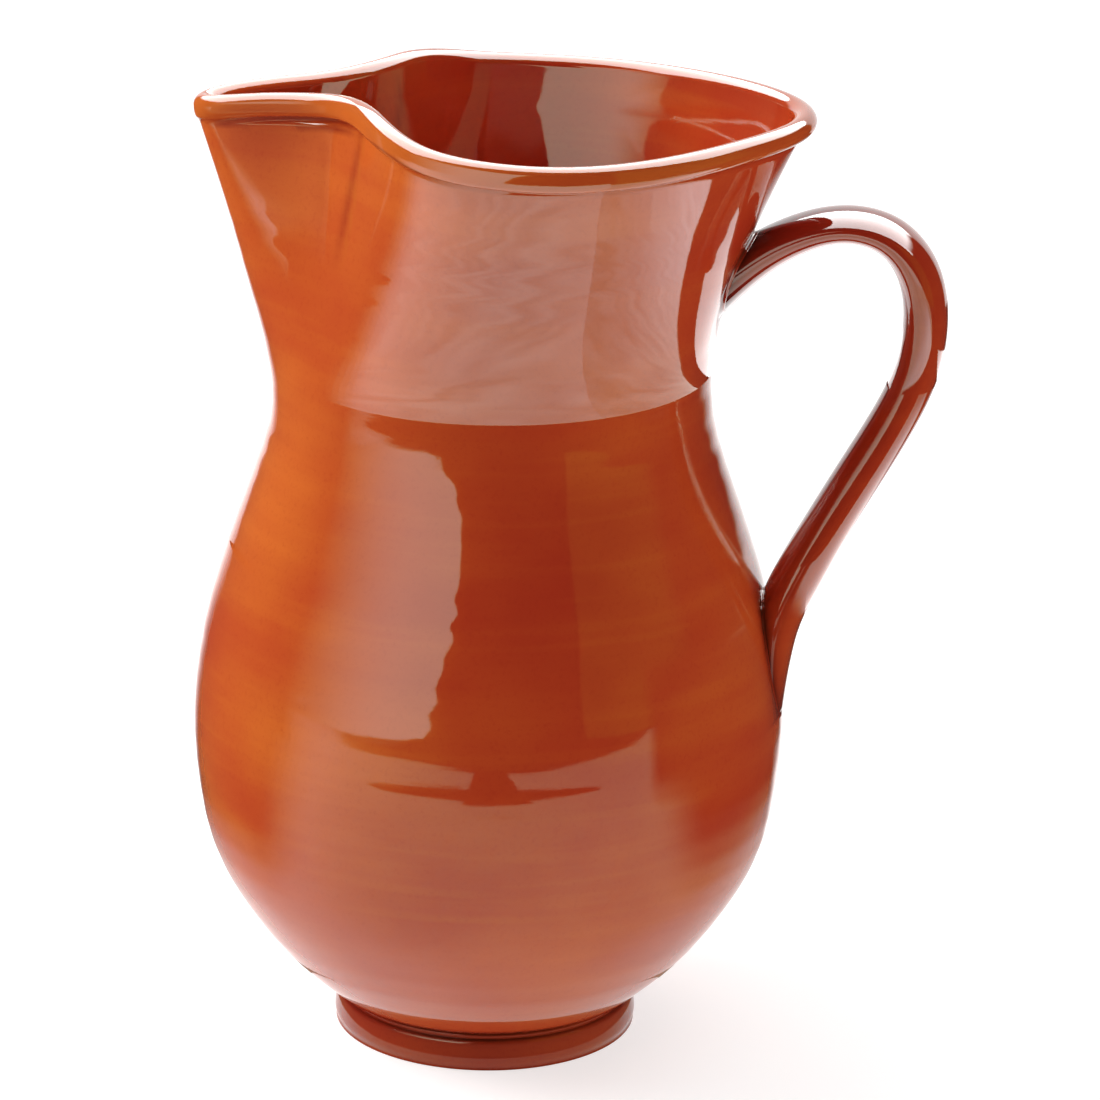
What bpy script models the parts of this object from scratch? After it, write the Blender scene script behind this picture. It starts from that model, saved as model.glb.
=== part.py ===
"""Glazed jug with a pulled spout and a strap handle. Metres, +Z up, the spout towards -X.

The jug stands on its foot ring. The origin is the middle of its footprint box, on the table.
"""

import bpy
import numpy as np

MM = 0.001
GAP = 0.3                    # between pieces that touch
WHEEL_X = -16.7              # the wheel axis, where the body and its foot are round

# The wall below the collar: (height, radius) of its outer side.
BASE_Z = 8.9
PROFILE = [
    (9.9, 36.6), (18.4, 45.9), (30.0, 55.4), (44.0, 63.2), (58.0, 66.8), (73.6, 68.2),
    (90.0, 67.1), (106.0, 63.7), (122.0, 58.7), (136.0, 53.8), (147.0, 50.7), (156.4, 49.6),
]
NECK_Z, NECK_R = PROFILE[-1]
WALL, FLOOR_Z = 4.5, 13.8

# The lip's centre line: (turn from the spout in degrees, x, y, height). It is mirrored in y.
LIP = [
    (0, -66.6, 0.0, 217.2), (8, -64.9, 3.5, 217.6), (17, -59.3, 6.4, 218.6), (27, -50.6, 8.2, 219.8),
    (37, -41.6, 10.4, 220.7), (46, -34.2, 14.4, 221.6), (54, -28.4, 21.0, 222.2),
    (62, -23.9, 29.2, 222.2), (71, -18.2, 38.6, 220.8), (82, -9.0, 47.0, 218.6),
    (96, 6.5, 52.2, 217.3), (112, 25.0, 50.8, 217.0), (130, 43.5, 40.6, 217.6),
    (148, 57.6, 26.4, 218.5), (164, 66.2, 13.0, 218.9), (180, 69.1, 0.0, 219.0),
]
LIP_OUT, LIP_IN, LIP_TOP, LIP_DROP = 2.75, 2.75, 2.5, 2.9

# The handle's centre line in the plane y = 0: (x from the wheel axis, z, thickness, width).
STRAP = [
    (42.4, 173.8, 14.0, 22.0), (52.9, 182.9, 10.8, 20.5), (60.7, 189.0, 9.2, 19.4),
    (69.5, 193.9, 8.2, 18.8), (80.0, 196.3, 7.5, 18.5), (89.6, 193.6, 8.2, 18.5),
    (95.4, 186.6, 9.4, 18.5), (97.7, 175.5, 10.1, 18.5), (96.0, 163.0, 10.3, 18.4),
    (91.0, 151.0, 10.4, 18.3), (83.6, 137.4, 10.6, 18.2), (76.0, 123.4, 10.8, 18.4),
    (70.6, 112.6, 11.2, 19.2), (67.2, 103.8, 10.4, 20.2), (66.3, 95.6, 8.2, 20.0),
    (66.5, 87.6, 5.4, 17.6), (67.1, 80.6, 2.6, 12.0),
]
SLIP = 1.0                   # thickness of the joining clay under each end of the handle

FOOT_TOP = BASE_Z - GAP
FOOT = [                     # (radius, height) round the foot ring, from its inner top edge
    (27.6, FOOT_TOP), (26.8, 3.0), (27.6, 0.6), (28.3, 0.0), (34.2, 0.0), (34.9, 0.5), (35.3, 2.0),
    (35.2, 4.4), (34.6, 7.0), (33.7, 7.5), (33.4, FOOT_TOP),
]

COLUMNS = 64
GLAZE = (0.36, 0.075, 0.022, 1.0)


def spline(knots, values, where, slope=None):
    """Smooth cubic curve through the values, with level ends or ends that keep their bend."""
    k, v = np.asarray(knots, float), np.asarray(values, float)
    n, h = len(k), np.diff(k)
    matrix, right = np.zeros((n, n)), np.zeros((n,) + v.shape[1:])
    step = np.diff(v, axis=0) / h.reshape((-1,) + (1,) * (v.ndim - 1))
    for i in range(1, n - 1):
        matrix[i, i - 1 : i + 2] = h[i - 1], 2 * (h[i - 1] + h[i]), h[i]
        right[i] = 6 * (step[i] - step[i - 1])
    matrix[0, 0] = matrix[-1, -1] = 1.0
    if slope is not None:
        matrix[0, :2] = 2 * h[0], h[0]
        matrix[-1, -2:] = h[-1], 2 * h[-1]
        right[0] = 6 * (step[0] - slope)
        right[-1] = 6 * (slope - step[-1])
    bend = np.linalg.solve(matrix, right)
    x = np.clip(np.asarray(where, float), k[0], k[-1])
    i = np.clip(np.searchsorted(k, x) - 1, 0, n - 2)
    shape = x.shape + (1,) * (v.ndim - 1)
    a, b, w = (k[i + 1] - x).reshape(shape), (x - k[i]).reshape(shape), h[i].reshape(shape)
    return (
        (bend[i] * a**3 + bend[i + 1] * b**3) / (6 * w)
        + (v[i] / w - bend[i] * w / 6) * a
        + (v[i + 1] / w - bend[i + 1] * w / 6) * b
    )


def lip_line(turn):
    """The lip's centre line and its outward direction, for turns in radians from the spout."""
    def at(angle):
        folded = np.abs((angle + np.pi) % (2 * np.pi) - np.pi)
        side = np.sign(np.sin(angle))
        knots = np.radians([row[0] for row in LIP])
        x = spline(knots, [row[1] for row in LIP], folded, slope=0.0)
        y = spline(knots, [row[2] for row in LIP], folded)
        z = spline(knots, [row[3] for row in LIP], folded, slope=0.0)
        return np.stack([x, y * side, z], -1)

    ahead = at(turn + 0.004) - at(turn - 0.004)
    out = np.stack([-ahead[..., 1], ahead[..., 0]], -1)
    return at(turn), out / np.linalg.norm(out, axis=-1, keepdims=True)


def near_spout(turn, spread):
    away = np.degrees(np.abs((turn + np.pi) % (2 * np.pi) - np.pi))
    return np.exp(-((away / spread) ** 2))


def wall_inset(turn):
    """How far the outer side of the wall lies outside the lip's centre line."""
    return -0.6 + 2.8 * near_spout(turn, 25)


def outer(turn, z):
    """The wall's outer side: a round body and neck, with the collar's flare added above."""
    round_r = spline([p[0] for p in PROFILE], [p[1] for p in PROFILE], np.minimum(z, NECK_Z))
    spoke = np.stack([-np.cos(turn), np.sin(turn)], -1)
    line, out = lip_line(turn)
    target = line[..., :2] + out * wall_inset(turn)[..., None]
    back = (1 - np.cos(turn)) / 2
    start, ease = 146 + 10 * back + 5 * np.sin(turn) ** 2, 0.2 + 0.4 * back
    rise = np.maximum((z - start) / (line[..., 2] - 3 * back - start), 0)
    flare = (np.hypot(rise, ease) - ease) / (np.hypot(1, ease) - ease)
    plan = spoke * round_r[..., None] + (target - spoke * NECK_R) * flare[..., None]
    return np.concatenate([plan, z[..., None]], -1)


def wall_normal(turn, z):
    along = outer(turn + 0.01, z) - outer(turn - 0.01, z)
    up = outer(turn, z + 0.1) - outer(turn, z - 0.1)
    normal = np.cross(up, along)
    return normal / np.linalg.norm(normal, axis=-1, keepdims=True)


def ring_at(turn, radius, z):
    return np.stack([-radius * np.cos(turn), radius * np.sin(turn), 0 * turn + z], -1)


def body_rows():
    """Rings of points from under the base, up the outside, over the lip and down to the floor."""
    turn = np.arange(COLUMNS) * 2 * np.pi / COLUMNS
    line, out = lip_line(turn)
    inset = wall_inset(turn)
    rows = [ring_at(turn, r, z) for r, z in ((14, BASE_Z), (33.6, BASE_Z), (35.6, 9.3))]
    levels = [10.2, 15, 21, 28, 36, 45, 55, 65, 75, 85, 96, 107, 118, 128, 137, 145]
    rows += [outer(turn, 0 * turn + z) for z in levels]
    steps = np.linspace(0, 1, 12)
    for s in steps[1:]:
        rows.append(outer(turn, 145 + (line[:, 2] - 3.7 - 145) * s))
    for angle in (-80, -50, -22, 5, 32, 60, 90, 120, 150, 180):
        c, s = np.cos(np.radians(angle)), np.sin(np.radians(angle))
        foot = inset - 0.35 if angle < 0 else 0 * inset
        reach = np.maximum(LIP_OUT - 0.35 * near_spout(turn, 25), inset + 0.1) - foot
        across = foot + reach * c if angle <= 90 else LIP_IN * c + 0 * inset
        high = (LIP_TOP if s > 0 else LIP_DROP) * s
        rows.append(np.concatenate([line[:, :2] + out * across[:, None], line[:, 2:] + high], -1))
    for s in steps[:0:-1]:
        z = 145 + (line[:, 2] - 3.7 - 145) * s
        thick = WALL + (inset + LIP_IN - WALL) * s**2
        rows.append(outer(turn, z) - wall_normal(turn, z) * thick[:, None])
    for z in levels[:1:-1]:
        height = 0 * turn + z
        rows.append(outer(turn, height) - wall_normal(turn, height) * WALL)
    rows += [ring_at(turn, 31.0, FLOOR_Z + 1.2), ring_at(turn, 16, FLOOR_Z)]
    return rows


def clearance_rows(offset, low=62.0, high=206.0):
    """Rings of a plug that fills the body and stands off its outer side."""
    turn = np.arange(120) * 2 * np.pi / 120
    return [
        outer(turn, 0 * turn + z) + wall_normal(turn, 0 * turn + z) * offset
        for z in np.linspace(low, high, 37)
    ]


def strap_rows(grow=0.0, first=0.0, last=1.0, count=34, corners=20):
    """Rings of the handle's oval section along its centre line."""
    points = np.array(STRAP)
    chord = np.concatenate([[0], np.cumsum(np.linalg.norm(np.diff(points[:, :2], axis=0), axis=1))])
    where = np.linspace(first, last, count) * chord[-1]
    line = spline(chord, points, where)
    ahead = spline(chord, points, where + 0.2) - spline(chord, points, where - 0.2)
    ahead = ahead[:, :2] / np.linalg.norm(ahead[:, :2], axis=1, keepdims=True)
    rows = []
    angle = np.arange(corners) * 2 * np.pi / corners
    for (x, z, thick, width), (dx, dz) in zip(line, ahead):
        a = (thick / 2 + grow) * np.sign(np.cos(angle)) * np.abs(np.cos(angle)) ** 0.95
        b = (width / 2 + grow) * np.sign(np.sin(angle)) * np.abs(np.sin(angle)) ** 0.95
        rows.append(np.stack([x - a * dz, b, z + a * dx], -1))
    return rows


def make(name, rows, poles=None, closed=False, smooth=True):
    """One closed mesh from rings of points. Its ends are flat, cones to two poles, or joined."""
    n = len(rows[0])
    points = np.concatenate(rows)
    quads = [
        (r * n + c, r * n + (c + 1) % n, (r + 1) % len(rows) * n + (c + 1) % n, (r + 1) % len(rows) * n + c)
        for r in range(len(rows) - (not closed))
        for c in range(n)
    ]
    top = (len(rows) - 1) * n
    if poles:
        points = np.concatenate([points, poles])
        quads += [(len(points) - 2, (c + 1) % n, c) for c in range(n)]
        quads += [(len(points) - 1, top + c, top + (c + 1) % n) for c in range(n)]
    elif not closed:
        quads += [tuple(range(n))[::-1], tuple(range(top, top + n))]
    mesh = bpy.data.meshes.new(name)
    mesh.from_pydata((points + [WHEEL_X, 0, 0]) * MM, [], quads)
    volume = sum(
        np.dot(points[f[0]], np.cross(points[f[i]], points[f[i + 1]]))
        for f in quads
        for i in range(1, len(f) - 1)
    )
    if volume < 0:
        mesh.flip_normals()
    mesh.polygons.foreach_set("use_smooth", [smooth and len(f) < 5 for f in quads])
    mesh.update()
    thing = bpy.data.objects.new(name, mesh)
    bpy.context.scene.collection.objects.link(thing)
    return thing


def paint(thing, colour, roughness):
    material = bpy.data.materials.new(thing.name)
    material.use_nodes = True
    shader = material.node_tree.nodes["Principled BSDF"]
    shader.inputs["Base Color"].default_value = colour
    shader.inputs["Roughness"].default_value = roughness
    thing.data.materials.append(material)
    return thing


def cutter(name, rows):
    thing = make(name, rows)
    thing.hide_render = True
    thing.display_type = "WIRE"
    return thing


def cut(thing, other, operation):
    modifier = thing.modifiers.new(f"{operation.lower()} {other.name}", "BOOLEAN")
    modifier.operation = operation
    modifier.solver = "EXACT"
    modifier.object = other


def main():
    for thing in list(bpy.data.objects):
        bpy.data.objects.remove(thing)

    poles = [(0, 0, BASE_Z), (0, 0, FLOOR_Z)]
    paint(make("jug_body", body_rows(), poles=poles), GLAZE, 0.08)

    turn = np.arange(COLUMNS) * 2 * np.pi / COLUMNS
    foot_rows = [ring_at(turn, r, z) for r, z in FOOT]
    paint(make("foot_ring", foot_rows, closed=True), (0.28, 0.055, 0.018, 1.0), 0.12)

    wall = cutter("wall_clearance", clearance_rows(GAP))
    slip = cutter("slip_outside", clearance_rows(GAP + SLIP))
    seat = cutter("handle_clearance", clearance_rows(2 * GAP + SLIP))

    handle = paint(make("handle", strap_rows()), GLAZE, 0.08)
    cut(handle, seat, "DIFFERENCE")

    for name, first, last in (("upper_joint_slip", 0.0, 0.12), ("lower_joint_slip", 0.74, 1.0)):
        pad = paint(make(name, strap_rows(0.6, first, last, 14)), (0.3, 0.07, 0.03, 1.0), 0.15)
        cut(pad, slip, "INTERSECT")
        cut(pad, wall, "DIFFERENCE")


main()
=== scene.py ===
"""Looks of the glazed jug: thrown body with its rolled lip, foot ring, strap handle and joints.

Sizes are in millimetres. The jug stands on its foot ring, with its spout towards -X.
"""

import bpy
import numpy as np
from mathutils import Matrix, Vector


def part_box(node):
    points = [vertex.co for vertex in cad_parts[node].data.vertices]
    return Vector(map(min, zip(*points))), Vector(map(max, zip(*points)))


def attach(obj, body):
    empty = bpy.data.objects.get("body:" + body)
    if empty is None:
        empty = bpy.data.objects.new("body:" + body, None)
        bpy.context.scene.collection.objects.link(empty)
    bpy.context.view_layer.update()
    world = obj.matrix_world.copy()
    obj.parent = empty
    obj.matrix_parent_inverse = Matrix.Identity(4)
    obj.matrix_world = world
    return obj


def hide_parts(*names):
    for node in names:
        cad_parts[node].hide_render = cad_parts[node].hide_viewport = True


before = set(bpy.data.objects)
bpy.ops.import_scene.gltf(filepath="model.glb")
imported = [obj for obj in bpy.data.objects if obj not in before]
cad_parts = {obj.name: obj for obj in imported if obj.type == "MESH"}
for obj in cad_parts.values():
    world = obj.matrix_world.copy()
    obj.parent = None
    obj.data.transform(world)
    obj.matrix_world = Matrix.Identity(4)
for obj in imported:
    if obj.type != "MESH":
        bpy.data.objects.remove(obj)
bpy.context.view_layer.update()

MM = 0.001
WHEEL_X = sum(corner[0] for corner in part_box("foot_ring")) / 2 / MM
BASE_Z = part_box("jug_body")[0][2] / MM

# The wall below the collar: (height, radius) of its outer side.
PROFILE = [
    (9.9, 36.6), (18.4, 45.9), (30.0, 55.4), (44.0, 63.2), (58.0, 66.8), (73.6, 68.2),
    (90.0, 67.1), (106.0, 63.7), (122.0, 58.7), (136.0, 53.8), (147.0, 50.7), (156.4, 49.6),
]
NECK_Z, NECK_R = PROFILE[-1]
WALL, FLOOR_Z = 4.5, 13.8

# Rings under the base, out to the belly, and inside on the floor: (radius, height).
UNDERSIDE = [(14, BASE_Z), (32.4, BASE_Z), (34.2, 9.1), (35.6, 9.5)]
INNER_FLOOR = [(36.0, 17.0), (29.0, FLOOR_Z + 0.9), (16, FLOOR_Z)]

# The lip's centre line: (turn from the spout in degrees, x, y, height). It is mirrored in y.
LIP = [
    (0, -66.6, 0.0, 217.2), (8, -64.9, 3.5, 217.6), (17, -59.3, 6.4, 218.6), (27, -50.6, 8.2, 219.8),
    (37, -41.6, 10.4, 220.7), (46, -34.2, 14.4, 221.6), (54, -28.4, 21.0, 222.2),
    (62, -23.9, 29.2, 222.2), (71, -18.2, 38.6, 220.8), (82, -9.0, 47.0, 218.6),
    (96, 6.5, 52.2, 217.3), (112, 25.0, 50.8, 217.0), (130, 43.5, 40.6, 217.6),
    (148, 57.6, 26.4, 218.5), (164, 66.2, 13.0, 218.9), (180, 69.1, 0.0, 219.0),
]
LIP_OUT, LIP_IN, LIP_TOP, LIP_DROP = 2.75, 2.75, 2.5, 2.9

# The lip's outer side, from the groove under it to its crest: (share of its reach, height).
LIP_SIDE = [
    (0.0, -LIP_DROP), (0.45, -3.05), (0.84, -2.8), (0.985, -2.2), (1.0, -1.5), (0.97, -0.5),
    (0.91, 0.5), (0.81, 1.3), (0.62, 1.95), (0.34, 2.38), (0.0, LIP_TOP),
]
WIDEST = 4                    # the place in that list where the lip reaches out furthest
GROOVE = 0.6                  # depth of the groove under the lip

# The handle's centre line in the plane y = 0: (x from the wheel axis, z, thickness, width).
STRAP = [
    (42.4, 173.8, 14.0, 22.0), (52.9, 182.9, 10.8, 20.5), (60.7, 189.0, 9.2, 19.4),
    (69.5, 193.9, 8.2, 18.8), (80.0, 196.3, 7.5, 18.5), (89.6, 193.6, 8.2, 18.5),
    (95.4, 186.6, 9.4, 18.5), (97.7, 175.5, 10.1, 18.5), (96.0, 163.0, 10.3, 18.4),
    (91.0, 151.0, 10.4, 18.3), (83.6, 137.4, 10.6, 18.2), (76.0, 123.4, 10.8, 18.4),
    (70.6, 112.6, 11.2, 19.2), (67.2, 103.8, 10.4, 20.2), (66.3, 95.6, 8.2, 20.0),
    (66.5, 87.6, 5.4, 17.6), (67.1, 80.6, 2.6, 12.0),
]
STRAP_STATIONS, STRAP_CORNERS = 240, 72

# The foot ring: (radius, height) round its section, from its inner top edge.
FOOT = [
    (27.6, 8.6), (26.8, 3.0), (27.6, 0.6), (28.3, 0.0), (34.2, 0.0), (34.9, 0.5), (35.3, 2.0),
    (35.2, 4.4), (34.6, 7.0), (33.7, 7.5), (33.4, 8.6),
]

COLUMNS = 320
TURNS = np.arange(COLUMNS) * 2 * np.pi / COLUMNS
ROW_STEP, INNER_STEP = 1.05, 2.5
COLLAR_Z = 145                # rows are level below this height, and lean with the lip above it
SPOUT_SPREAD = 25             # degrees to each side that the spout's shape reaches

# The marks of the potter's hand.
OUTER_RINGS = (6.4, 0.028)    # pitch and depth of the throwing rings
INNER_RINGS = (8.0, 0.06)
CREASE_DEPTH = 0.45
CREASE_TURN = 44.5            # degrees to each side of the spout
CREASE_END = 187              # height of its lower end


# ---------------------------------------------------------------- the jug's surfaces

def spline(knots, values, where, slope=None):
    """Smooth cubic curve through the values: straight at its ends, or with the given slope there."""
    k, v = np.asarray(knots, float), np.asarray(values, float)
    n, h = len(k), np.diff(k)
    matrix, right = np.zeros((n, n)), np.zeros((n,) + v.shape[1:])
    step = np.diff(v, axis=0) / h.reshape((-1,) + (1,) * (v.ndim - 1))
    for i in range(1, n - 1):
        matrix[i, i - 1 : i + 2] = h[i - 1], 2 * (h[i - 1] + h[i]), h[i]
        right[i] = 6 * (step[i] - step[i - 1])
    matrix[0, 0] = matrix[-1, -1] = 1.0
    if slope is not None:
        matrix[0, :2] = 2 * h[0], h[0]
        matrix[-1, -2:] = h[-1], 2 * h[-1]
        right[0] = 6 * (step[0] - slope)
        right[-1] = 6 * (slope - step[-1])
    bend = np.linalg.solve(matrix, right)
    x = np.clip(np.asarray(where, float), k[0], k[-1])
    i = np.clip(np.searchsorted(k, x) - 1, 0, n - 2)
    shape = x.shape + (1,) * (v.ndim - 1)
    a, b, w = (k[i + 1] - x).reshape(shape), (x - k[i]).reshape(shape), h[i].reshape(shape)
    return (
        (bend[i] * a**3 + bend[i + 1] * b**3) / (6 * w)
        + (v[i] / w - bend[i] * w / 6) * a
        + (v[i + 1] / w - bend[i + 1] * w / 6) * b
    )


def folded(turn):
    """The turn away from the spout, in radians, the same to both sides."""
    return np.abs((turn + np.pi) % (2 * np.pi) - np.pi)


def lip_line(turn):
    """The lip's centre line and its outward direction, for turns in radians from the spout."""
    def at(angle):
        """A place on the centre line."""
        away = folded(angle)
        knots = np.radians([row[0] for row in LIP])
        x = spline(knots, [row[1] for row in LIP], away, slope=0.0)
        y = spline(knots, [row[2] for row in LIP], away)
        z = spline(knots, [row[3] for row in LIP], away, slope=0.0)
        return np.stack([x, y * np.sign(np.sin(angle)), z], -1)

    ahead = at(turn + 0.004) - at(turn - 0.004)
    out = np.stack([-ahead[..., 1], ahead[..., 0]], -1)
    return at(turn), out / np.linalg.norm(out, axis=-1, keepdims=True)


def near_spout(turn):
    """1 at the spout, and down to 0 on the rest of the collar."""
    return np.exp(-((np.degrees(folded(turn)) / SPOUT_SPREAD) ** 2))


def wall_inset(turn):
    """How far the outer side of the wall lies outside the lip's centre line."""
    return -0.6 + 2.8 * near_spout(turn)


def outer(turn, z):
    """The wall's outer side: a round body and neck, with the collar's flare added above."""
    round_r = spline([p[0] for p in PROFILE], [p[1] for p in PROFILE], np.minimum(z, NECK_Z))
    spoke = np.stack([-np.cos(turn), np.sin(turn)], -1)
    line, out = lip_line(turn)
    target = line[..., :2] + out * wall_inset(turn)[..., None]
    back = (1 - np.cos(turn)) / 2
    start, ease = 146 + 10 * back + 5 * np.sin(turn) ** 2, 0.2 + 0.4 * back
    rise = np.maximum((z - start) / (line[..., 2] - 3 * back - start), 0)
    flare = (np.hypot(rise, ease) - ease) / (np.hypot(1, ease) - ease)
    plan = spoke * round_r[..., None] + (target - spoke * NECK_R) * flare[..., None]
    return np.concatenate([plan, z[..., None]], -1)


def wall_normal(turn, z):
    """The direction out of the wall."""
    along = outer(turn + 0.01, z) - outer(turn - 0.01, z)
    up = outer(turn, z + 0.1) - outer(turn, z - 0.1)
    normal = np.cross(up, along)
    return normal / np.linalg.norm(normal, axis=-1, keepdims=True)


def throwing_rings(turn, z, rings):
    """The faint spiral that the potter's fingers leave, uneven from turn to turn."""
    pitch, depth = rings
    climb = z / pitch + turn / (2 * np.pi)
    strength = 0.6 + 0.4 * np.sin(climb * 1.7) + 0.3 * np.sin(climb * 0.9 + 2.0 * np.sin(turn))
    wobble = 0.35 * np.sin(3 * turn + climb * 0.6) + 0.2 * np.sin(5 * turn - climb * 0.3)
    return depth * strength * np.sin(2 * np.pi * climb + wobble)


def hand_waves(turn, z):
    """The slow unevenness of a wall that was shaped by hand, stronger in the collar."""
    drift = 1.3 * np.sin(z / 9.0) + 0.7 * np.sin(z / 4.6 + 1.3)
    size = 0.04 + 0.05 * np.clip((z - 150) / 40, 0, 1)
    return size * (np.sin(11 * turn + drift) + 0.8 * np.sin(7 * turn - 1.2 * drift + z / 17))


def spout_crease(turn, z):
    """The finger's crease on each side of the spout's throat."""
    run = np.clip((z - CREASE_END) / 14, 0, 1) * np.clip((215 - z) / 3, 0, 1)
    return -CREASE_DEPTH * run * np.exp(-(((np.degrees(folded(turn)) - CREASE_TURN) / 2.6) ** 2))


def skin(turn, z):
    """The wall's outer side with the marks of throwing on it, which fade out at the foot and the lip."""
    height = z + 0 * turn
    calm = np.clip((height - 12) / 10, 0, 1) * np.clip((214 - height) / 14, 0, 1)
    marks = (throwing_rings(turn, height, OUTER_RINGS) + hand_waves(turn, height)) * calm
    marks = marks + spout_crease(turn, height)
    return outer(turn, height) + wall_normal(turn, height) * marks[:, None]


def ring_at(turn, radius, z):
    """A level round ring."""
    return np.stack([-radius * np.cos(turn), radius * np.sin(turn), 0 * turn + z], -1)


def lip_ring(line, out, across, high):
    """A ring beside the lip's centre line."""
    return np.concatenate(
        [line[:, :2] + out * np.reshape(across, (-1, 1)), line[:, 2:] + np.reshape(high, (-1, 1))], -1)


def outside_rows(line):
    """Rings from under the base up to the groove under the lip."""
    rows = [ring_at(TURNS, r, z) for r, z in UNDERSIDE]
    for z in np.arange(10.2, COLLAR_Z, ROW_STEP):
        rows.append(skin(TURNS, z))
    for share in np.linspace(0, 1, 62):
        rows.append(skin(TURNS, COLLAR_Z + (line[:, 2] - 3.9 - COLLAR_Z) * share))
    return rows


def lip_rows(line, out):
    """Rings over the rolled lip. Its outer side is round at the spout and squarer at the jug's sides."""
    inset = wall_inset(TURNS)
    reach = np.maximum(LIP_OUT - 0.35 * near_spout(TURNS), inset + 0.1)
    steps = np.arange(len(LIP_SIDE))
    square = np.clip(1.5 * np.abs(np.sin(TURNS)) - 0.45, 0, 1)
    rows = []
    for step in np.linspace(0, steps[-1], 38):
        low = step < WIDEST
        share, high = spline(steps, LIP_SIDE, np.array([step]))[0]
        angle = np.pi / 2 * (step - WIDEST) / (WIDEST if low else steps[-1] - WIDEST)
        round_share, round_high = np.cos(angle), (LIP_DROP if low else LIP_TOP) * np.sin(angle)
        share = square * share + (1 - square) * round_share
        high = square * high + (1 - square) * round_high
        start = inset - GROOVE if low else 0 * inset
        rows.append(lip_ring(line, out, start + (reach - start) * share, high))
    for angle in np.radians(np.arange(96, 181, 6)):
        rows.append(lip_ring(line, out, LIP_IN * np.cos(angle), LIP_TOP * np.sin(angle)))
    return rows


def inside_rows(line):
    """Rings from under the lip down the inside to the floor."""
    inset = wall_inset(TURNS)
    rows = []
    for share in np.linspace(1, 0, 26)[1:]:
        z = COLLAR_Z + (line[:, 2] - 3.7 - COLLAR_Z) * share
        thick = WALL + (inset + LIP_IN - WALL) * share**2 + 5 * share * (1 - share)
        thick += throwing_rings(TURNS + 1, z, INNER_RINGS) * (1 - share**4)
        rows.append(outer(TURNS, z) - wall_normal(TURNS, z) * thick[:, None])
    for z in np.arange(COLLAR_Z - INNER_STEP, 22, -INNER_STEP):
        height = 0 * TURNS + z
        thick = WALL + throwing_rings(TURNS + 1, height, INNER_RINGS)
        rows.append(outer(TURNS, height) - wall_normal(TURNS, height) * thick[:, None])
    return rows + [ring_at(TURNS, r, z) for r, z in INNER_FLOOR]


def body_rows():
    """Rings of points from under the base, up the outside, over the lip and down to the floor."""
    line, out = lip_line(TURNS)
    return outside_rows(line) + lip_rows(line, out) + inside_rows(line)


def foot_section(rows=44):
    """The foot ring's section as a smooth closed loop."""
    chord = np.arange(len(FOOT) + 1)
    return spline(chord, np.array(FOOT + FOOT[:1]), np.linspace(0, len(FOOT), rows, endpoint=False))


def strap_line(count):
    """Stations along the handle's centre line, and the direction there."""
    points = np.array(STRAP)
    chord = np.concatenate([[0], np.cumsum(np.linalg.norm(np.diff(points[:, :2], axis=0), axis=1))])
    where = np.linspace(0, chord[-1], count)
    ahead = spline(chord, points, where + 0.2) - spline(chord, points, where - 0.2)
    ahead = ahead[:, :2] / np.linalg.norm(ahead[:, :2], axis=1, keepdims=True)
    return spline(chord, points, where), ahead


def strap_rows(count=STRAP_STATIONS):
    """Rings of the handle's oval section along its centre line."""
    line, ahead = strap_line(count)
    rows = []
    angle = np.arange(STRAP_CORNERS) * 2 * np.pi / STRAP_CORNERS
    for (x, z, thick, width), (dx, dz) in zip(line, ahead):
        a = thick / 2 * np.sign(np.cos(angle)) * np.abs(np.cos(angle)) ** 0.95
        b = width / 2 * np.sign(np.sin(angle)) * np.abs(np.sin(angle)) ** 0.95
        rows.append(np.stack([x - a * dz, b, z + a * dx], -1))
    return rows


def wall_gap(points):
    """How far points are outside the wall."""
    turn = np.arctan2(points[:, 1], -points[:, 0])
    wall = outer(turn, np.clip(points[:, 2], 10, 216))
    return np.hypot(points[:, 0], points[:, 1]) - np.hypot(wall[:, 0], wall[:, 1])


def strap_gap(points):
    """How far points are outside the handle's oval section, or 99 where they are past its ends."""
    line, ahead = strap_line(STRAP_STATIONS)
    best = np.full(len(points), 99.0)
    for (x, z, thick, width), (dx, dz) in zip(line, ahead):
        side = points[:, [0, 2]] - [x, z]
        along, across = side @ [dx, dz], side @ [-dz, dx]
        share = np.hypot(across / (thick / 2), points[:, 1] / (width / 2))
        gap = (share - 1) * min(thick, width) / 2
        best = np.minimum(best, np.where(np.abs(along) < 1.0, gap, 99.0))
    return best


def root_seam(upper):
    """Where the handle's surface meets the wall: the points, the ways out along wall and handle, and
    the way out of the wall."""
    rows = np.array(strap_rows(600))
    if not upper:
        rows = rows[::-1]
    half = rows[: len(rows) // 2]
    gaps = wall_gap(half.reshape(-1, 3)).reshape(half.shape[:2])
    first = np.array([np.argmax(gaps[:, c] > 0) for c in range(STRAP_CORNERS)])
    columns = np.arange(STRAP_CORNERS)
    before = np.maximum(first - 1, 0)
    low, high = gaps[before, columns], gaps[first, columns]
    share = np.clip(low / np.minimum(low - high, -1e-6), 0, 1)[:, None]
    seam = half[before, columns] * (1 - share) + half[first, columns] * share
    up = half[np.minimum(first + 6, len(half) - 1), columns] - half[before, columns]
    up /= np.linalg.norm(up, axis=1, keepdims=True)
    normal = wall_normal(np.arctan2(seam[:, 1], -seam[:, 0]), seam[:, 2])
    middle = (seam + np.roll(seam, STRAP_CORNERS // 2, axis=0)) / 2
    away = seam - middle
    away -= normal * np.einsum("ij,ij->i", away, normal)[:, None]
    away /= np.linalg.norm(away, axis=1, keepdims=True)
    return seam, away, up, normal


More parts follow.
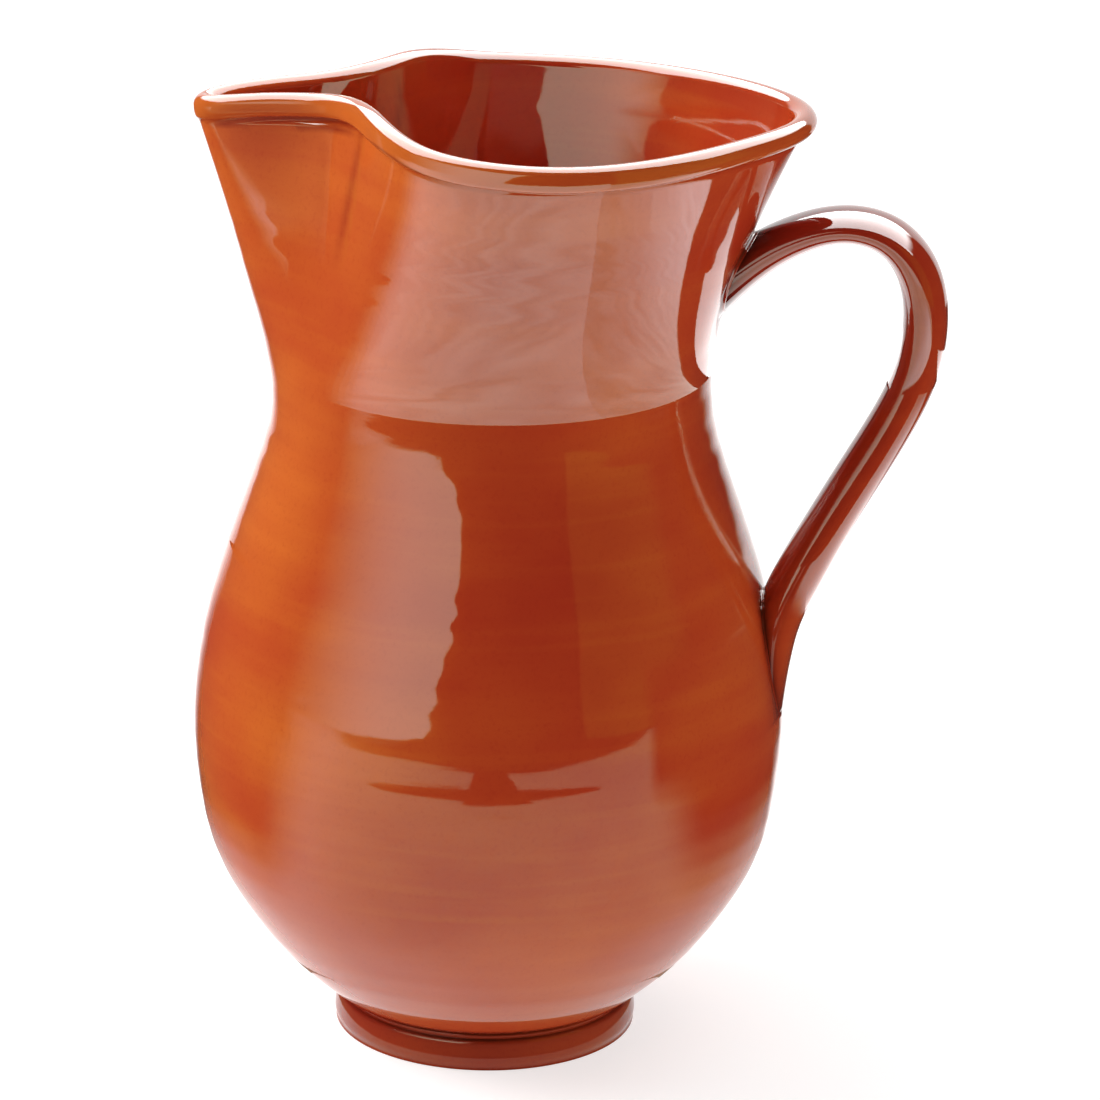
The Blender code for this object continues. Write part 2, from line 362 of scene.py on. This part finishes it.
def slip_rows(upper, size):
    """The joining clay, smoothed into a hollow corner all round the handle's root."""
    seam, away, up, normal = root_seam(upper)
    rows = []
    for share in np.linspace(0, 1, 11):
        rows.append(seam + size * ((1 - share) ** 2 * away + share**2 * up) - 0.12 * normal * (1 - share))
    rows.append(seam - 0.6 * away - 0.6 * normal)
    return rows


def make(name, rows, poles=None, closed=False):
    """One closed mesh from rings of points. Its ends are flat, cones to two poles, or joined."""
    n = len(rows[0])
    points = np.concatenate(rows)
    row = np.arange(len(rows) - (not closed))[:, None]
    here, after = row * n, (row + 1) % len(rows) * n
    c = np.arange(n)[None, :]
    quads = np.stack([here + c, here + (c + 1) % n, after + (c + 1) % n, after + c], -1)
    faces = quads.reshape(-1, 4).tolist()
    top = (len(rows) - 1) * n
    if poles:
        points = np.concatenate([points, poles])
        faces += [(len(points) - 2, (i + 1) % n, i) for i in range(n)]
        faces += [(len(points) - 1, top + i, top + (i + 1) % n) for i in range(n)]
    elif not closed:
        faces += [tuple(range(n))[::-1], tuple(range(top, top + n))]
    mesh = bpy.data.meshes.new(name)
    mesh.from_pydata((points + [WHEEL_X, 0, 0]) * MM, [], faces)
    corners = quads.reshape(-1, 4)
    a, b, c = points[corners[:, 0]], points[corners[:, 1]], points[corners[:, 2]]
    if np.einsum("ij,ij->", a, np.cross(b, c)) < 0:
        mesh.flip_normals()
    mesh.polygons.foreach_set("use_smooth", [len(face) < 5 for face in faces])
    mesh.update()
    thing = bpy.data.objects.new(name, mesh)
    bpy.context.scene.collection.objects.link(thing)
    return thing


# ---------------------------------------------------------------- materials

GLAZE = (0.40, 0.068, 0.024)
# Darker copy of the glaze: painted shade under the belly, on the foot ring.
FOOT_GLAZE_IN_SHADE = (0.27, 0.042, 0.016)
# Darker copy of the glaze: painted shade on the handle and its joints.
HANDLE_GLAZE_IN_SHADE = (0.30, 0.044, 0.017)
# Lighter, more orange colour of thinner glaze on the lip and the handle's lower end, also used as a
# painted highlight along the spout's crease.
THIN_GLAZE_AND_HIGHLIGHT = (0.40, 0.085, 0.022)
# Near black painted shade, for the groove under the lip, the crease, the handle's roots and the foot.
PAINTED_SHADE = (0.035, 0.007, 0.006)


def node(tree, kind, **inputs):
    """A new node with its inputs linked to sockets or set to plain values."""
    made = tree.nodes.new(kind)
    for name, value in inputs.items():
        socket = made.inputs[name.replace("_", " ")]
        if isinstance(value, bpy.types.NodeSocket):
            tree.links.new(value, socket)
        else:
            socket.default_value = value
    return made


def noise(tree, place, stretch, detail=2.0, roughness=0.5):
    """Cloudy noise with its own number of clouds per unit of the place along x, y and z."""
    mapping = node(tree, "ShaderNodeMapping", Vector=place, Scale=stretch)
    cloud = node(tree, "ShaderNodeTexNoise", Vector=mapping.outputs["Vector"], Scale=1.0,
                 Detail=detail, Roughness=roughness)
    return cloud.outputs["Fac"]


def rescale(tree, value, low, high, to_low=0.0, to_high=1.0):
    """The value's range from low to high stretched onto another range, and held at its ends."""
    made = node(tree, "ShaderNodeMapRange", Value=value, From_Min=low, From_Max=high,
                To_Min=to_low, To_Max=to_high)
    return made.outputs["Result"]


def blend(tree, share, first, second):
    """A colour between two, each a socket or a plain colour."""
    made = tree.nodes.new("ShaderNodeMix")
    made.data_type = "RGBA"
    tree.links.new(share, made.inputs[0])
    for socket, value in ((made.inputs[6], first), (made.inputs[7], second)):
        if isinstance(value, bpy.types.NodeSocket):
            tree.links.new(value, socket)
        else:
            socket.default_value = (*value, 1)
    return made.outputs[2]


def glaze(name, colour=GLAZE, speck=1.0):
    """Glossy honey glaze over red clay: lighter and more orange where the glaze is thinner and where a
    highlight is painted, and near black where shade is painted.
    """
    material = bpy.data.materials.new(name)
    material.use_nodes = True
    tree = material.node_tree
    shader = tree.nodes["Principled BSDF"]
    place = tree.nodes.new("ShaderNodeTexCoord").outputs["Object"]
    body = np.array(colour) * 1.06

    clouds = noise(tree, place, (14, 14, 22), 3.0)
    streaks = noise(tree, place, (9, 9, 150), 3.0, 0.6)
    grain = noise(tree, place, (900, 900, 900), 3.0, 0.7)
    rich, light = tuple(body * (0.86, 0.74, 0.80)), tuple(body * (1.09, 1.30, 1.0))
    paint = blend(tree, rescale(tree, clouds, 0.36, 0.64), rich, light)
    for value, low, high, most, tint in (
        (streaks, 0.40, 0.72, 0.34, (0.84, 0.70, 0.8)),
        (streaks, 0.46, 0.26, 0.30, (1.12, 1.40, 1.05)),
        (grain, 0.52, 0.78, 0.30 * speck, (0.66, 0.5, 0.6)),
    ):
        paint = blend(tree, rescale(tree, value, low, high, 0.0, most), paint, tuple(body * tint))
    # The painted shade goes on last, over the thinner glaze and the painted highlight.
    for mark_name, tint in (("thin_glaze_and_highlight", THIN_GLAZE_AND_HIGHLIGHT), ("painted_shade", PAINTED_SHADE)):
        share = tree.nodes.new("ShaderNodeAttribute")
        share.attribute_name = mark_name
        paint = blend(tree, share.outputs["Fac"], paint, tint)
    tree.links.new(paint, shader.inputs["Base Color"])

    tree.links.new(rescale(tree, clouds, 0.3, 0.7, 0.035, 0.06), shader.inputs["Roughness"])
    shader.inputs["IOR"].default_value = 1.5
    fine = node(tree, "ShaderNodeBump", Strength=0.25, Distance=0.00002, Height=grain)
    soft = node(tree, "ShaderNodeBump", Strength=0.6, Distance=0.00005, Height=streaks)
    tree.links.new(fine.outputs["Normal"], soft.inputs["Normal"])
    tree.links.new(soft.outputs["Normal"], shader.inputs["Normal"])
    return material


# ---------------------------------------------------------------- where the glaze is thinner, and where shade and a highlight are painted

def mark(thing, name, values):
    """Stores one number per vertex, for the materials to read."""
    thing.data.attributes.new(name, "FLOAT", "POINT").data.foreach_set("value", values)


def points_of(thing):
    """The vertices of a piece in mm from the wheel axis."""
    points = np.zeros(len(thing.data.vertices) * 3)
    thing.data.vertices.foreach_get("co", points)
    return points.reshape(-1, 3) / MM - [WHEEL_X, 0, 0]


def body_marks(body):
    """Thinner glaze on the lip and a painted highlight on the crease's edge; painted shade in the groove,
    in the crease, round the roots and at the foot.
    """
    points = points_of(body)
    turn = np.arctan2(points[:, 1], -points[:, 0])
    line, out = lip_line(turn)
    gap = np.einsum("ij,ij->i", points[:, :2] - line[:, :2], out)
    high = points[:, 2] - line[:, 2]
    groove = np.exp(-(((high + 3.1) / 0.45) ** 2)) * (gap > -2)
    roll = np.clip((high + 2.6) / 0.8, 0, 1) * (gap > -2.4)
    near = points[:, 0] > 30
    crevice = np.zeros(len(points))
    crevice[near] = np.exp(-np.clip(strap_gap(points[near]), 0, 9) / 0.9)
    foot = np.exp(-np.clip(points[:, 2] - 10.0, 0, 9) / 0.6)
    away = np.degrees(np.abs(turn))
    run = np.clip((points[:, 2] - CREASE_END) / 12, 0, 1) * (high < -2.6) * (gap > -2)
    crease = 0.3 * run * np.exp(-(((away - CREASE_TURN + 3) / 2.0) ** 2))
    # A painted highlight along the crease's edge.
    edge = run * np.exp(-(((away - CREASE_TURN - 0.5) / 0.9) ** 2))
    # Painted shade in the groove, round the handle's roots, at the foot and in the crease.
    mark(body, "painted_shade", np.clip(0.45 * groove + 0.8 * crevice + 0.8 * foot + crease, 0, 1))
    # Thinner glaze on the lip's roll, and the crease's painted highlight.
    mark(body, "thin_glaze_and_highlight", 0.7 * np.maximum(roll, edge))


def strap_marks(strap):
    """Painted shade at the roots, with more of it at the upper root, and thinner glaze on the lower end.
    """
    points = points_of(strap)
    gap = np.clip(wall_gap(points), 0, 30)
    # Painted shade round the handle's roots, with more at the upper root.
    root = 0.85 * np.exp(-gap / 1.2) + 0.45 * np.exp(-((gap / 7.0) ** 2)) * (points[:, 2] > 150)
    mark(strap, "painted_shade", np.clip(root, 0, 1))
    mark(strap, "thin_glaze_and_highlight", np.clip((110 - points[:, 2]) / 15, 0, 1) * 0.3)


def slip_marks(slip, most):
    """Painted shade in the middle of the hollow corner, and none at its edges."""
    across = np.array([0, 0.1, 0.25, 0.45, 0.6, 0.7, 0.6, 0.45, 0.25, 0.1, 0, 0])
    # Painted shade across the hollow corner.
    mark(slip, "painted_shade", np.repeat(across, STRAP_CORNERS) * most)


# ---------------------------------------------------------------- camera

CAMERA_TURN, CAMERA_DIP, CAMERA_ROLL = 7.0, 18.3, 0.978      # degrees
CAMERA_PLACE = (157.2, -1168.8, 505.2)                       # from the wheel axis, mm
CAMERA_LENS, CAMERA_SENSOR = 176.73, 36.0


def camera():
    """The photograph's camera, as it was fitted to the jug's outline."""
    data = bpy.data.cameras.new("camera")
    data.lens = CAMERA_LENS
    data.sensor_width = CAMERA_SENSOR
    data.clip_end = 50
    thing = bpy.data.objects.new("camera", data)
    place = (np.array(CAMERA_PLACE) + [WHEEL_X, 0, 0]) * MM
    thing.matrix_world = (
        Matrix.Translation(place)
        @ Matrix.Rotation(np.radians(CAMERA_TURN), 4, "Z")
        @ Matrix.Rotation(np.radians(90 - CAMERA_DIP), 4, "X")
        @ Matrix.Rotation(np.radians(CAMERA_ROLL), 4, "Z")
    )
    bpy.context.scene.collection.objects.link(thing)
    bpy.context.scene.camera = thing


# ---------------------------------------------------------------- cards that the glaze mirrors

FAR = 5000
WIDE = (3000, 3000)           # reach of a card on the table that has no end in the reflections
ROOM_TOP, FLAG_TOP, SCREEN_TOP = 2200, 560, 1300
COLLAR_CARD_Z = 160.0         # most cards round the neck lie at this height
NECK_CLEAR = 48               # radius where level cards start, just inside the neck's wall
MOUTH_CARD_R = 36             # radius of the cards inside the mouth


def fade(tree, value, low, high):
    """A number that climbs smoothly from 0 to 1 while the value goes from low to high."""
    step = node(tree, "ShaderNodeMapRange", From_Min=low, From_Max=high, Value=value)
    step.interpolation_type = "SMOOTHSTEP"
    return step.outputs["Result"]


def product(tree, first, second):
    """Two numbers multiplied."""
    made = tree.nodes.new("ShaderNodeMath")
    made.operation = "MULTIPLY"
    tree.links.new(first, made.inputs[0])
    tree.links.new(second, made.inputs[1])
    return made.outputs[0]


def card_paint(name, strength, colour, soft, one_sided, bands):
    """Light of a card that fades out towards its start, end, low and high edges by the soft shares."""
    material = bpy.data.materials.new(name)
    material.use_nodes = True
    tree = material.node_tree
    tree.nodes.clear()
    light = node(tree, "ShaderNodeEmission", Color=(*colour, 1), Strength=strength)
    out = tree.nodes.new("ShaderNodeOutputMaterial")
    where = tree.nodes.new("ShaderNodeUVMap")
    split = node(tree, "ShaderNodeSeparateXYZ", Vector=where.outputs[0])
    masks = []
    for axis, at_low, at_high in (("X", soft[0], soft[1]), ("Y", soft[2], soft[3])):
        if at_low:
            masks.append(fade(tree, split.outputs[axis], 0.0, at_low))
        if at_high:
            masks.append(fade(tree, split.outputs[axis], 1.0, 1.0 - at_high))
    if bands:
        ripple = noise(tree, where.outputs[0], (3.0, 60.0, 1.0))
        level = rescale(tree, ripple, 0.35, 0.65, strength * (1 - bands), strength * (1 + bands))
        tree.links.new(level, light.inputs["Strength"])
    if one_sided:
        back = tree.nodes.new("ShaderNodeNewGeometry").outputs["Backfacing"]
        masks.append(fade(tree, back, 1.0, 0.0))
    if not masks:
        tree.links.new(light.outputs[0], out.inputs["Surface"])
        return material
    mask = masks[0]
    for other in masks[1:]:
        mask = product(tree, mask, other)
    mix = tree.nodes.new("ShaderNodeMixShader")
    clear = tree.nodes.new("ShaderNodeBsdfTransparent")
    tree.links.new(mask, mix.inputs[0])
    tree.links.new(clear.outputs[0], mix.inputs[1])
    tree.links.new(light.outputs[0], mix.inputs[2])
    tree.links.new(mix.outputs[0], out.inputs["Surface"])
    return material


def card(name, rows, strength, colour=(1, 1, 1), soft=(0, 0, 0, 0), one_sided=False, bands=0.0):
    """A card that only the glaze mirrors: a low and a high line of points, in mm, as the camera faces."""
    turn = np.radians(CAMERA_TURN)
    spin = np.array([[np.cos(turn), -np.sin(turn), 0], [np.sin(turn), np.cos(turn), 0], [0, 0, 1]])
    low, high = (np.array(row, float) @ spin.T for row in rows)
    n = len(low)
    points = (np.concatenate([low, high]) + [WHEEL_X, 0, 0]) * MM
    mesh = bpy.data.meshes.new(name)
    mesh.from_pydata(points, [], [(i, i + 1, n + i + 1, n + i) for i in range(n - 1)])
    spots = mesh.uv_layers.new(name="card")
    for face in mesh.polygons:
        for corner in face.loop_indices:
            vertex = mesh.loops[corner].vertex_index
            spots.data[corner].uv = (vertex % n / (n - 1), vertex // n)
    mesh.materials.append(card_paint(name, strength, colour, soft, one_sided, bands))
    thing = bpy.data.objects.new(name, mesh)
    bpy.context.scene.collection.objects.link(thing)
    thing.visible_camera = False
    thing.visible_shadow = False
    thing.visible_diffuse = False
    thing.visible_transmission = False


def upright(name, line, low, high, strength, **more):
    """A card that stands on a line of (x, y) places."""
    card(name, [[(*place, low) for place in line], [(*place, high) for place in line]], strength, **more)


def flat(name, start, end, near, far, height, strength, **more):
    """A level card from start to end in x and from near to far in y."""
    rows = [[(start, near, height), (end, near, height)], [(start, far, height), (end, far, height)]]
    card(name, rows, strength, **more)


def polar(radius, turns, height):
    """Points round the wheel axis. Turns are in degrees from the camera's side towards its right."""
    places = np.broadcast_arrays(radius, np.radians(turns), height)
    return [(r * np.sin(a), -r * np.cos(a), z) for r, a, z in zip(*places)]


def fan(name, inner, outer_turns, strength, height=COLLAR_CARD_Z, reach=(700, 700), **more):
    """A level card round the neck, seen from above only, between two turns at its inner and outer edge."""
    share = np.linspace(0, 1, 33)

    def between(pair):
        """Steps from the first of two numbers to the second."""
        return pair[0] + (pair[1] - pair[0]) * share

    rows = [polar(between(reach), between(outer_turns), height), polar(NECK_CLEAR, between(inner), height)]
    card(name, rows, strength, one_sided=True, **more)


def room_cards():
    """A dark room in front of a white table, with the band of the table's edge and the camera's shade."""
    flat("room_floor", -FAR, FAR, -620, -FAR, 1, 0.03)
    upright("room_wall", [(-FAR, -1500), (FAR, -1500)], 0, ROOM_TOP, 0.03)
    upright("room_left", [(-1600, -1500), (-1600, 200)], 0, ROOM_TOP, 0.15)
    upright("room_right", [(1600, -1500), (1600, 200)], 0, ROOM_TOP, 0.08)
    share = np.linspace(-1, 1, 25)
    swell = 9.5 * (1 - share**2) ** 0.7
    turns = -1 + 40 * share
    card("table_edge", [polar(300, turns, 21 - 1.3 * swell), polar(300, turns, 21 + swell)], 0.02)
    flat("camera_shade", -40, 85, -640, -290, 2, 0.02)


def side_cards():
    """Dark flags on both sides, which keep the belly's colour deep, and the shade round the foot."""
    fan("left_shade", (-158, -58), (-158, -58), 0.08, height=2, reach=WIDE, soft=(0.2, 0.28, 0, 0.04))
    fan("right_shade", (60, 145), (60, 145), 0.04, height=2, reach=WIDE, soft=(0.28, 0.15, 0, 0.05))
    line = [(-500, -140), (-500, 330), (-330, 750)]
    upright("left_flag", line, 1, FLAG_TOP, 0.08, soft=(0.08, 0.2, 0, 0.2))
    line = [(500, -90), (500, 300), (460, 560)]
    upright("right_flag", line, 1, FLAG_TOP, 0.04, soft=(0.1, 0.2, 0, 0.2))
    upright("spout_flag", [(-95, -8), (-32, -31)], 190, 226, 0.4, soft=(0, 0.3, 0.35, 0))
    ring = np.linspace(360, 0, 49)
    card("foot_shade", [polar(46, ring, z) for z in (0.2, 11)], 0.3, colour=(1, 0.9, 0.7),
         soft=(0, 0, 0, 0.15), one_sided=True)


def window_cards():
    """The bright window at the left, and the warm wall round it."""
    rows = [[(-1300, -150, 15), (-560, -850, 20), (-430, -970, 60), (-350, -1000, 210)],
            [(-1300, -150, 900), (-500, -880, 850), (-300, -1000, 800), (-120, -1000, 800)]]
    card("window", rows, 3.0, colour=(1.0, 1.0, 0.9), soft=(0.32, 0, 0, 0.1))
    rows = [[(-1450, -180, -40), (-660, -1000, -30), (-500, -1140, 20), (-330, -1180, 200)],
            [(-1450, -180, 1050), (-590, -1060, 1000), (-300, -1180, 950), (-65, -1180, 950)]]
    card("window_rim", rows, 0.3, colour=(1.0, 0.4, 0.08), soft=(0.4, 0, 0, 0))


def collar_cards():
    """Level lights and shades round the neck, which the flared collar mirrors from below."""
    fan("collar_light", (-48, 30), (-98, 34), 3.0, colour=(1, 1, 0.92), soft=(0.25, 0, 0, 0), bands=0.18)
    fan("collar_right_light", (30, 68), (34, 75), 2.2, reach=(500, 128), colour=(1, 1, 0.9), bands=0.18)
    fan("collar_side_light", (34, 68), (38, 75), 4.5, height=COLLAR_CARD_Z + 0.6, reach=(250, 128),
        soft=(0.9, 0, 0, 0.85), bands=0.18)
    fan("collar_strip", (68, 79), (75, 86), 0.05, reach=(132, 132))
    fan("collar_edge_light", (78.5, 104), (86, 116), 3.0, reach=(124, 84), soft=(0, 0.2, 0, 0))
    fan("neck_shade", (-85, 74), (-85, 74), 0.03, height=118, reach=(270, 270))


def mouth_cards():
    """Lights inside the mouth, for the wall that faces the camera."""
    rows = []
    for first, z in ((-26, 180), (91, 230)):
        turns = np.linspace(first, -150, 37)
        dip = 8 * np.exp(-(((turns + 57) / 18) ** 2))
        rows.append(polar(MOUTH_CARD_R - dip, turns, z))
    card("mouth_light", rows, 3.2, colour=(1, 1, 0.85), soft=(0, 0.4, 0.1, 0.1), one_sided=True)
    rows = [polar(MOUTH_CARD_R, np.linspace(166, 103, 13), z) for z in (172, 216)]
    card("mouth_patch", rows, 0.75, colour=(1, 0.9, 0.6), soft=(0.2, 0.1, 0.3, 0.1), one_sided=True)


def handle_cards():
    """A light and its shades under the handle, and the screen at the right."""
    flat("handle_light", 80, 235, -75, 50, 96, 2.7, soft=(0, 0.8, 0.1, 0.1), one_sided=True)
    flat("handle_shade", 215, 700, -300, 300, 104, 0.05, soft=(0.1, 0.1, 0.1, 0.1), one_sided=True)
    flat("handle_back_shade", 100, 290, 60, 300, 103, 0.05, soft=(0.5, 0, 0.15, 0.1), one_sided=True)
    line = [(72, 8), (72, -75)]
    upright("tail_flag", line, 58, 114, 0.06, soft=(0.1, 0.1, 0.3, 0.2), one_sided=True)
    line = [(750, -1000), (1550, -500), (1590, 190)]
    upright("reflector", line, 20, SCREEN_TOP, 0.45, colour=(1.0, 0.8, 0.2), soft=(0, 0.45, 0, 0))


def surround_cards():
    """White behind the jug and above it."""
    upright("backdrop", [(-FAR, 1500), (FAR, 1500)], 0, 2500, 1.3)
    flat("overhead", -1200, 1200, -270, 1500, 900, 12.0)


# ---------------------------------------------------------------- studio

FLOOR_HALF = 20.0             # half the floor's side, in metres
SKY_SEEN, SKY_LIGHT = 1.2, 0.15

# Soft lights: name, place and size in metres, and watts.
LAMPS = [
    ("key", (-1.25, 0.0, 0.95), (1.0, 1.0), 30),
    ("fill", (1.30, -0.10, 0.60), (1.2, 1.0), 6),
    ("top", (0.0, 0.4, 1.3), (2.0, 2.0), 16),
]
LAMP_TARGET = Vector((0, 0, 0.1))

# The view's curve: (place, level), which makes the shadows slightly deeper.
SHADOW_CURVE = [(0.05, 0.031), (0.08, 0.063), (0.13, 0.13), (0.5, 0.5)]


def sky():
    """A white world that is bright to the camera and dim as a light."""
    world = bpy.data.worlds.new("studio")
    bpy.context.scene.world = world
    world.use_nodes = True
    tree = world.node_tree
    background = tree.nodes["Background"]
    background.inputs["Color"].default_value = (1, 1, 1, 1)
    path = tree.nodes.new("ShaderNodeLightPath")
    strength = rescale(tree, path.outputs["Is Camera Ray"], 0.0, 1.0, SKY_LIGHT, SKY_SEEN)
    tree.links.new(strength, background.inputs["Strength"])


def pale_floor():
    """A plain pale floor that glows a little, so that its shadows stay soft."""
    half = FLOOR_HALF
    corners = [(-half, -half, 0), (half, -half, 0), (half, half, 0), (-half, half, 0)]
    mesh = bpy.data.meshes.new("floor")
    mesh.from_pydata(corners, [], [(0, 1, 2, 3)])
    paint = bpy.data.materials.new("floor")
    paint.use_nodes = True
    shader = paint.node_tree.nodes["Principled BSDF"]
    shader.inputs["Base Color"].default_value = (0.58, 0.58, 0.58, 1)
    shader.inputs["Roughness"].default_value = 0.9
    shader.inputs["Specular IOR Level"].default_value = 0.0
    shader.inputs["Emission Color"].default_value = (1, 1, 1, 1)
    shader.inputs["Emission Strength"].default_value = 0.64
    mesh.materials.append(paint)
    floor = bpy.data.objects.new("floor", mesh)
    bpy.context.scene.collection.objects.link(floor)


def lamp(name, place, size, power):
    """A soft light that faces the jug and isn't mirrored in its glaze."""
    light = bpy.data.lights.new(name, "AREA")
    light.shape = "RECTANGLE"
    light.size, light.size_y = size
    light.energy = power
    thing = bpy.data.objects.new(name, light)
    thing.location = place
    thing.rotation_euler = (LAMP_TARGET - Vector(place)).to_track_quat("-Z", "Y").to_euler()
    thing.visible_glossy = False
    bpy.context.scene.collection.objects.link(thing)


def studio():
    """The world, the floor, the cards and the lamps."""
    sky()
    pale_floor()
    room_cards()
    side_cards()
    window_cards()
    collar_cards()
    mouth_cards()
    handle_cards()
    surround_cards()
    for row in LAMPS:
        lamp(*row)


def grade():
    """A plain view with slightly deeper shadows."""
    view = bpy.context.scene.view_settings
    view.view_transform = "Standard"
    view.use_curve_mapping = True
    curve = view.curve_mapping.curves[3]
    for place, level in SHADOW_CURVE:
        curve.points.new(place, level)
    view.curve_mapping.update()


# ---------------------------------------------------------------- the pieces

def main():
    """The five pieces, then the camera and the studio."""
    body = make("jug", body_rows(), poles=[(0, 0, BASE_Z), (0, 0, FLOOR_Z)])
    body.data.materials.append(glaze("glazed_jug"))
    body_marks(body)
    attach(body, "root")
    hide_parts("jug_body")

    foot = make("foot", [ring_at(TURNS, r, z) for r, z in foot_section()], closed=True)
    # The foot ring's glaze is darkened to paint the shade under the belly.
    foot.data.materials.append(glaze("glazed_foot", FOOT_GLAZE_IN_SHADE))
    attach(foot, "root")
    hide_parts("foot_ring")

    strap = make("strap_handle", strap_rows())
    # The handle's glaze is darkened to paint its shade.
    strap.data.materials.append(glaze("glazed_handle", HANDLE_GLAZE_IN_SHADE, 0.6))
    strap_marks(strap)
    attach(strap, "root")
    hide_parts("handle")

    for name, upper, size, most in (("upper", True, 1.7, 1.0), ("lower", False, 1.5, 0.8)):
        slip = make(name + "_slip", slip_rows(upper, size), closed=True)
        slip.data.materials.append(glaze(name + "_slip", HANDLE_GLAZE_IN_SHADE))
        slip_marks(slip, most)
        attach(slip, "root")
        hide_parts(name + "_joint_slip")

    camera()
    studio()
    grade()


main()
